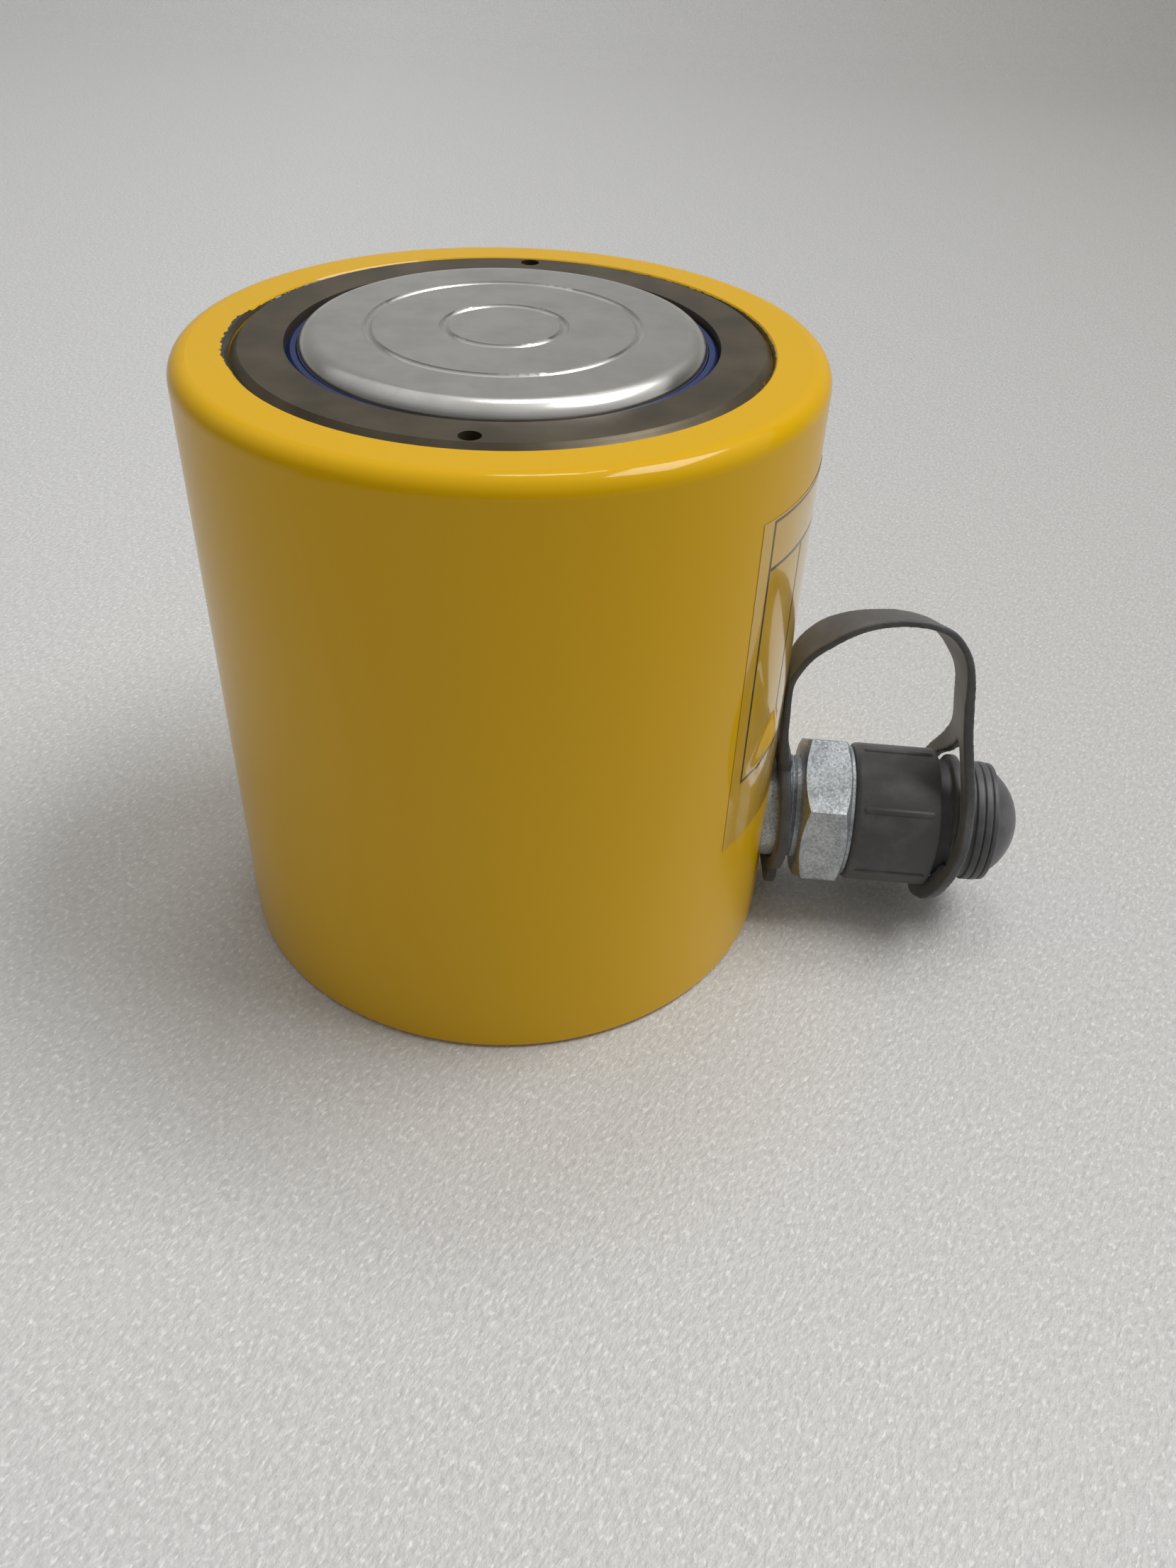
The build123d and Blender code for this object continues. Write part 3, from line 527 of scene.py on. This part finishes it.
def smoothLine(points, count):
    # evenly spaced points on a smooth curve through the given ones
    curve = bpy.data.curves.new("guide", "CURVE")
    curve.dimensions = "3D"
    spline = curve.splines.new("BEZIER")
    spline.bezier_points.add(len(points) - 1)
    for knot, (x, up) in zip(spline.bezier_points, points):
        knot.co = (x, 0, up)
        knot.handle_left_type = knot.handle_right_type = "AUTO"
    guide = bpy.data.objects.new("guide", curve)
    traced = [v.co.copy() for v in bpy.data.meshes.new_from_object(guide).vertices]
    bpy.data.objects.remove(guide)
    reached = [0.0]
    for here, ahead in zip(traced, traced[1:]):
        reached.append(reached[-1] + (ahead - here).length)
    line, k = [], 0
    for step in range(count):
        wanted = reached[-1] * step / (count - 1)
        while k < len(traced) - 2 and reached[k + 1] < wanted:
            k += 1
        line.append(traced[k].lerp(traced[k + 1], (wanted - reached[k]) / (reached[k + 1] - reached[k])))
    return line


def valueAt(table, at, column=1):
    # straight-line reading of a table whose rows run upwards
    for low, high in zip(table, table[1:]):
        if at <= high[0]:
            break
    share = min(max((at - low[0]) / (high[0] - low[0]), 0), 1)
    return low[column] + (high[column] - low[column]) * share


def addSlab(bm, sections):
    # a closed bar through four-cornered sections
    joinLoops(bm, [[bm.verts.new(Vector(corner) * mm) for corner in section] for section in sections])


def addNeckRing(bm, segments=96):
    ring = strap["neckRing"]
    half = ring["thickness"] / 2
    corners = ((ring["inner"], -half), (ring["outer"], -half), (ring["outer"], half), (ring["inner"], half))
    rows = []
    for k in range(segments):
        turn = math.tau * k / segments
        row = []
        for r, along in corners:
            y, up = r * math.sin(turn), r * math.cos(turn)
            corner = Vector((ring["x"] + along - ring["swing"] * y, y, axisHeight + up))
            row.append(bm.verts.new(corner * mm))
        rows.append(row)
    for k in range(segments):
        first, second = rows[k], rows[(k + 1) % segments]
        for n in range(4):
            bm.faces.new((first[n], first[(n + 1) % 4], second[(n + 1) % 4], second[n]))
    # its pull tab below, and the root of the band above
    for outline in (ring["tab"], ring["root"]):
        addSlab(bm, [[
            (ring["x"] + along - ring["swing"] * y, y, axisHeight - down)
            for y, along in ((-width, -half), (width, -half), (width, half), (-width, half))
        ] for down, width in outline])


def addBand(bm):
    near = smoothLine(strap["nearEdge"], strap["samples"])
    far = smoothLine(strap["farEdge"], strap["samples"])
    middles = [(a + b) / 2 for a, b in zip(near, far)]
    sections = []
    for k, (a, b) in enumerate(zip(near, far)):
        ahead = middles[min(k + 1, len(middles) - 1)] - middles[max(k - 1, 0)]
        across = b - a + Vector((0, 2 * strap["halfWidth"], 0))
        thickness = valueAt(strap["thicknesses"], k / (strap["samples"] - 1))
        outward = ahead.cross(across).normalized() * thickness / 2
        nearPoint = a + Vector((0, -strap["halfWidth"], axisHeight))
        farPoint = b + Vector((0, strap["halfWidth"], axisHeight))
        sections.append([nearPoint - outward, farPoint - outward, farPoint + outward, nearPoint + outward])
    addSlab(bm, sections)


def forkOutlines():
    # radius against the angle from the top, for one side of the plate
    outer = [(0.0, fork["bandEnd"])]
    for share in (0.25, 0.5, 0.75, 1.0):
        y = fork["bandHalfWidth"] * share
        outer.append((math.degrees(math.atan2(y, fork["bandEnd"])), math.hypot(y, fork["bandEnd"])))
    start = math.radians(fork["flareStart"])
    foot = Vector((math.sin(start), math.cos(start))) * fork["outer"]
    band = Vector((fork["bandHalfWidth"], fork["bandEnd"]))
    pulls = (band, Vector(fork["flareBandPull"]), foot + Vector(fork["flareRingPull"]), foot)
    for step in range(1, fork["flareSteps"] + 1):
        t = step / fork["flareSteps"]
        weights = ((1 - t) ** 3, 3 * t * (1 - t) ** 2, 3 * t * t * (1 - t), t ** 3)
        y, up = sum((pull * weight for pull, weight in zip(pulls, weights)), Vector((0, 0)))
        outer.append((math.degrees(math.atan2(y, up)), math.hypot(y, up)))
    outer.append((fork["outerUntil"], fork["outer"]))
    corner = math.degrees(math.atan2(fork["tabHalfWidth"], fork["tab"]))
    for angle in (corner, corner * 0.66, corner * 0.33, 0.0):
        outer.append((180 - angle, fork["tab"] / math.cos(math.radians(angle))))
    y, up = fork["notchApex"]
    start = math.radians(fork["notchFoot"])
    foot = Vector((math.sin(start), math.cos(start))) * fork["innerTop"]
    inner = [(0.0, up)]
    for step in range(fork["notchSteps"] + 1):
        point = Vector((y, up)).lerp(foot, step / fork["notchSteps"])
        inner.append((math.degrees(math.atan2(point.x, point.y)), point.length))
    inner.append((fork["innerTopUntil"], fork["innerTop"]))
    inner += [(fork["innerFrom"], fork["inner"]), (180.0, fork["inner"])]
    return outer, inner


def addForkedPlate(bm, segments=240, rings=7):
    outer, inner = forkOutlines()
    half = fork["thickness"] / 2
    grid = []
    for k in range(segments):
        turn = 360 * k / segments
        angle = min(turn, 360 - turn)
        low, high = valueAt(inner, angle), valueAt(outer, angle)
        column = []
        for n in range(rings + 1):
            reach = low + (high - low) * n / rings
            y, up = reach * math.sin(math.radians(turn)), reach * math.cos(math.radians(turn))
            swing = valueAt(fork["middle"], up, 2)
            lean = valueAt(fork["middle"], up + 0.5) - valueAt(fork["middle"], up - 0.5)
            point = Vector((valueAt(fork["middle"], up) - swing * y, y, axisHeight + up))
            outward = Vector((1, swing, -lean)).normalized() * half
            column.append((bm.verts.new((point - outward) * mm), bm.verts.new((point + outward) * mm)))
        grid.append(column)
    for k in range(segments):
        here, ahead = grid[k], grid[(k + 1) % segments]
        for n in range(rings):
            bm.faces.new((here[n][0], here[n + 1][0], ahead[n + 1][0], ahead[n][0]))
            bm.faces.new((here[n][1], ahead[n][1], ahead[n + 1][1], here[n + 1][1]))
        bm.faces.new((here[0][0], ahead[0][0], ahead[0][1], here[0][1]))
        bm.faces.new((here[rings][0], here[rings][1], ahead[rings][1], ahead[rings][0]))


def addLip(bm, segments=40):
    # the ring's lower edge grips the groove between the cap's sleeve and bead
    lip = fork["lip"]
    half = fork["thickness"] / 2
    sections = []
    for k in range(segments + 1):
        turn = math.radians(lip["fromDegrees"] + (lip["toDegrees"] - lip["fromDegrees"]) * k / segments)
        section = []
        for edge, onFarFace in (("inner", False), ("outer", False), ("outer", True), ("inner", True)):
            y, up = -lip[edge] * math.sin(turn), lip[edge] * math.cos(turn)
            x = valueAt(fork["middle"], up) - valueAt(fork["middle"], up, 2) * y
            x = x + half - lip["inset"] if onFarFace else max(x - half, lip["fromX"])
            section.append((x, y, axisHeight + up))
        sections.append(section)
    addSlab(bm, sections)


def makeStrap():
    bm = bmesh.new()
    addNeckRing(bm)
    addBand(bm)
    addForkedPlate(bm)
    addLip(bm)
    bmesh.ops.recalc_face_normals(bm, faces=bm.faces)
    # the parts melt into one moulding with soft edges
    rough = bpy.data.objects.new("strapRough", meshFrom(bm, "strapRough"))
    bpy.context.collection.objects.link(rough)
    remesh = rough.modifiers.new("remesh", "REMESH")
    remesh.mode = "VOXEL"
    remesh.voxel_size = strap["voxel"] * mm
    relax = rough.modifiers.new("relax", "SMOOTH")
    relax.factor = strap["relaxFactor"]
    relax.iterations = strap["relaxSteps"]
    moulded = bpy.data.meshes.new_from_object(rough.evaluated_get(bpy.context.evaluated_depsgraph_get()))
    bpy.data.objects.remove(rough)
    for face in moulded.polygons:
        face.use_smooth = True
    moulded.name = "retainingStrap"
    replaced = ("strap_neck_ring", "strap_band", "strap_cap_ring")
    rubber = finishes["moulded_rubber"]
    piece = newPiece("retainingStrap", moulded, rubber, None, "moulded_rubber", *replaced)
    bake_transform(piece)


def filmRadius(azimuth, height):
    # the film lies on the body, but for a fold near its lower corner
    fold = label["fold"]
    arc = math.radians(1) * bodyRadius
    start = Vector((fold["from"][0] * arc, fold["from"][1]))
    along = Vector((fold["to"][0] * arc, fold["to"][1])) - start
    there = Vector((azimuth * arc, height)) - start
    share = there.dot(along) / along.length_squared
    aside = abs(there.x * along.y - there.y * along.x) / along.length / fold["halfWidth"]
    away = abs(share - 0.5) / fold["reach"]
    lift = fold["height"] if aside < 1 and away < 1 else 0.0
    lift *= math.cos(min(aside, 1) * math.pi / 2) ** 2 * math.cos(min(away, 1) * math.pi / 2) ** 2
    return bodyRadius + label["standOff"] + lift


def addFilmPatch(bm, azimuths, heights, lift=0.0):
    columns = max(2, round(abs(azimuths[1] - azimuths[0]) / label["stepDegrees"]))
    rows = max(2, round(abs(heights[1] - heights[0]) / label["stepMm"]))
    grid = []
    for i in range(columns + 1):
        azimuth = azimuths[0] + (azimuths[1] - azimuths[0]) * i / columns
        column = []
        for j in range(rows + 1):
            height = heights[0] + (heights[1] - heights[0]) * j / rows
            radius = filmRadius(azimuth, height) + lift
            turn = math.radians(azimuth)
            corner = Vector((radius * math.cos(turn), radius * math.sin(turn), height))
            column.append(bm.verts.new(corner * mm))
        grid.append(column)
    for i in range(columns):
        for j in range(rows):
            bm.faces.new((grid[i][j], grid[i + 1][j], grid[i + 1][j + 1], grid[i][j + 1]))


def makeFilmPiece(name, finish, patches, lift):
    bm = bmesh.new()
    for azimuths, heights in patches:
        addFilmPatch(bm, azimuths, heights, lift)
    newPiece(name, meshFrom(bm, name), finish, "cylinder", "yellow_enamel")


def makeLabel():
    makeFilmPiece("labelFilm", makeFilmFinish(), [(label["azimuths"], label["heights"])], 0.0)
    low, high = label["frameHeights"]
    left, right = label["frame"]
    wide = math.degrees(label["lineWidth"] / bodyRadius)
    tall = label["lineWidth"]
    lines = [((left, right), (z, z + tall)) for z in (low, label["divider"], high - tall)]
    lines += [((a, a + wide), (low, high)) for a in (left, right - wide)]
    lines += [((a, a + wide), (low, label["divider"])) for a in (label["column"], -label["column"])]
    makeFilmPiece("labelFrame", makeInk(), lines, label["inkLift"])


# the springs reach from the cylinder to a moving body: (node, that body, the axis that it lies along)
springs = {"returnSpring": ("return_spring", "ram", 2), "valveSpring": ("ball_spring", "ball", 0)}


def makeSpring(name, node, body, axis):
    # the solid's own turns, copied as they stand and baked in place
    mesh = nodes[node].data.copy()
    mesh.transform(nodes[node].matrix_world)
    places = [corner.co[axis] for corner in mesh.vertices]
    slotName = next(part["material_slot"] for part in frame["record"]["subparts"] if part["node"] == node)
    piece = newPiece(name, mesh, finishes[slotName], None, slotName, node)
    start, end = Vector(), Vector()
    start[axis], end[axis] = min(places), max(places)
    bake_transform(piece)


print("springs")
for springName, values in springs.items():
    makeSpring(springName, *values)
print("rubber")
makeDustCap()
makeStrap()
print("film")
makeLabel()

# the table: a pale foam sheet, its places in metres, that curves up behind into the backdrop
table = {
    "halfWidth": 5.0, "front": -0.9, "back": 0.9, "bend": 0.5, "bendSteps": 12, "top": 1.6,
    "colour": "#DFDFDE", "paintedGlintSpeck": "#EFEFEF", "pit": "#CACAC9", "roughness": 0.42, "grainMm": 0.85,
    "grainDepthMm": 0.5, "paintedGlintSpeckMm": 0.6, "slant": -0.5, "stretch": 2.0,
    "paintedShade": "#BFBEBB", "paintedShadeTowards": (1.0, 0.15, 0.0), "paintedShadeFromMm": -100.0, "paintedShadeToMm": 600.0,
}


def makeTable():
    bm = bmesh.new()
    profile = [(table["front"], 0.0), (table["back"], 0.0)]
    for step in range(1, table["bendSteps"] + 1):
        angle = math.radians(90 * step / table["bendSteps"])
        profile.append((table["back"] + table["bend"] * math.sin(angle), table["bend"] * (1 - math.cos(angle))))
    profile.append((table["back"] + table["bend"], table["top"]))
    sides = (-table["halfWidth"], table["halfWidth"])
    rows = [[bm.verts.new((x, y, z)) for x in sides] for y, z in profile]
    for first, second in zip(rows, rows[1:]):
        bm.faces.new((first[0], first[1], second[1], second[0]))
    sheet = bpy.data.objects.new("table", meshFrom(bm, "table"))
    bpy.context.collection.objects.link(sheet)
    finish, tree, shader, place = newFinish("foamSheet", Roughness=table["roughness"])
    # the foam's cells are drawn out one way, aslant to the jack
    drawn = {"Vector": place, "Rotation": (0, 0, table["slant"]), "Scale": (1.0, table["stretch"], 1.0)}
    brushed = addNode(tree, "ShaderNodeMapping", drawn, vector_type="TEXTURE")
    grain = {"Vector": brushed, "Scale": 1 / table["grainMm"], "Detail": 3.0, "Roughness": 0.6}
    grain = addNode(tree, "ShaderNodeTexNoise", grain)
    shade = addNode(tree, "ShaderNodeMapRange", {"Value": grain, "From Min": 0.3, "From Max": 0.7})
    colour = {0: shade, 6: linearFromHex(table["pit"]), 7: linearFromHex(table["colour"])}
    colour = addNode(tree, "ShaderNodeMix", colour, 2, data_type="RGBA")
    # painted glints: pale specks painted into the foam's colour, standing in for the sparkle of its cells
    paintedGlintSpeck = {"Vector": brushed, "Scale": 1 / table["paintedGlintSpeckMm"], "Detail": 1.0}
    paintedGlintSpeck = addNode(tree, "ShaderNodeTexNoise", paintedGlintSpeck)
    paintedGlintSpeck = addNode(tree, "ShaderNodeMapRange", {"Value": paintedGlintSpeck, "From Min": 0.57, "From Max": 0.72})
    colour = {0: paintedGlintSpeck, 6: colour, 7: linearFromHex(table["paintedGlintSpeck"])}
    colour = addNode(tree, "ShaderNodeMix", colour, 2, data_type="RGBA")
    # painted shade: the sheet's colour darkens towards the far right, standing in for the light falling off
    # there
    paintedShade = {0: place, 1: table["paintedShadeTowards"]}
    paintedShade = addNode(tree, "ShaderNodeVectorMath", paintedShade, "Value", operation="DOT_PRODUCT")
    paintedShade = {"Value": paintedShade, "From Min": table["paintedShadeFromMm"], "From Max": table["paintedShadeToMm"]}
    paintedShade = addNode(tree, "ShaderNodeMapRange", paintedShade)
    colour = {0: paintedShade, 6: colour, 7: linearFromHex(table["paintedShade"])}
    colour = addNode(tree, "ShaderNodeMix", colour, 2, data_type="RGBA", blend_type="MULTIPLY")
    tree.links.new(colour, shader["Base Color"])
    relief = {"Height": grain, "Distance": table["grainDepthMm"] * mm, "Strength": 0.6}
    tree.links.new(addNode(tree, "ShaderNodeBump", relief), shader["Normal"])
    sheet.data.materials.append(finish)


print("table")
makeTable()

# camera: fitted to the body's circles in the photograph
viewpoint = {
    "place": (0.02870, -0.19247, 0.17388), "degrees": (51.5137, -1.8320, 5.3306),
    "lens": 28.918, "sensorWidth": 36.0, "nearest": 0.01,
}
print("camera")
cameraData = bpy.data.cameras.new("camera")
cameraData.sensor_width = viewpoint["sensorWidth"]
cameraData.lens = viewpoint["lens"]
cameraData.clip_start = viewpoint["nearest"]
camera = bpy.data.objects.new("camera", cameraData)
bpy.context.collection.objects.link(camera)
camera.location = viewpoint["place"]
camera.rotation_euler = tuple(math.radians(angle) for angle in viewpoint["degrees"])
bpy.context.scene.camera = camera

# light: a broad window high on the right, a small lamp overhead, and a room that is brightest above and
# behind
lamps = {
    "sideWindow": {"place": (1.03, 0.22, 1.87), "size": (1.15, 0.75), "watts": 24.0},
    "overheadLamp": {"place": (0.05, 0.42, 1.25), "size": (0.3, 0.16), "watts": 1.6},
}
aimedAt = Vector((0, 0, 0.05))
room = {"colour": "#F2F1F0", "brightTowards": (0.25, 0.42, 0.87), "least": 0.145, "most": 0.75}
print("light")
for name, lamp in lamps.items():
    data = bpy.data.lights.new(name, "AREA")
    data.shape = "RECTANGLE"
    data.size, data.size_y = lamp["size"]
    data.energy = lamp["watts"]
    shining = bpy.data.objects.new(name, data)
    bpy.context.collection.objects.link(shining)
    shining.location = lamp["place"]
    shining.rotation_euler = (aimedAt - shining.location).to_track_quat("-Z", "Y").to_euler()
world = bpy.data.worlds.new("room")
world.use_nodes = True
towards = addNode(world.node_tree, "ShaderNodeTexCoord", output="Generated")
towards = {0: towards, 1: room["brightTowards"]}
towards = addNode(world.node_tree, "ShaderNodeVectorMath", towards, "Value", operation="DOT_PRODUCT")
sky = {"Value": towards, "From Min": -0.1, "From Max": 1.0, "To Min": room["least"], "To Max": room["most"]}
background = world.node_tree.nodes["Background"].inputs
background["Color"].default_value = linearFromHex(room["colour"])
world.node_tree.links.new(addNode(world.node_tree, "ShaderNodeMapRange", sky), background["Strength"])
bpy.context.scene.world = world
bpy.context.scene.view_settings.view_transform = "Standard"

print("done")
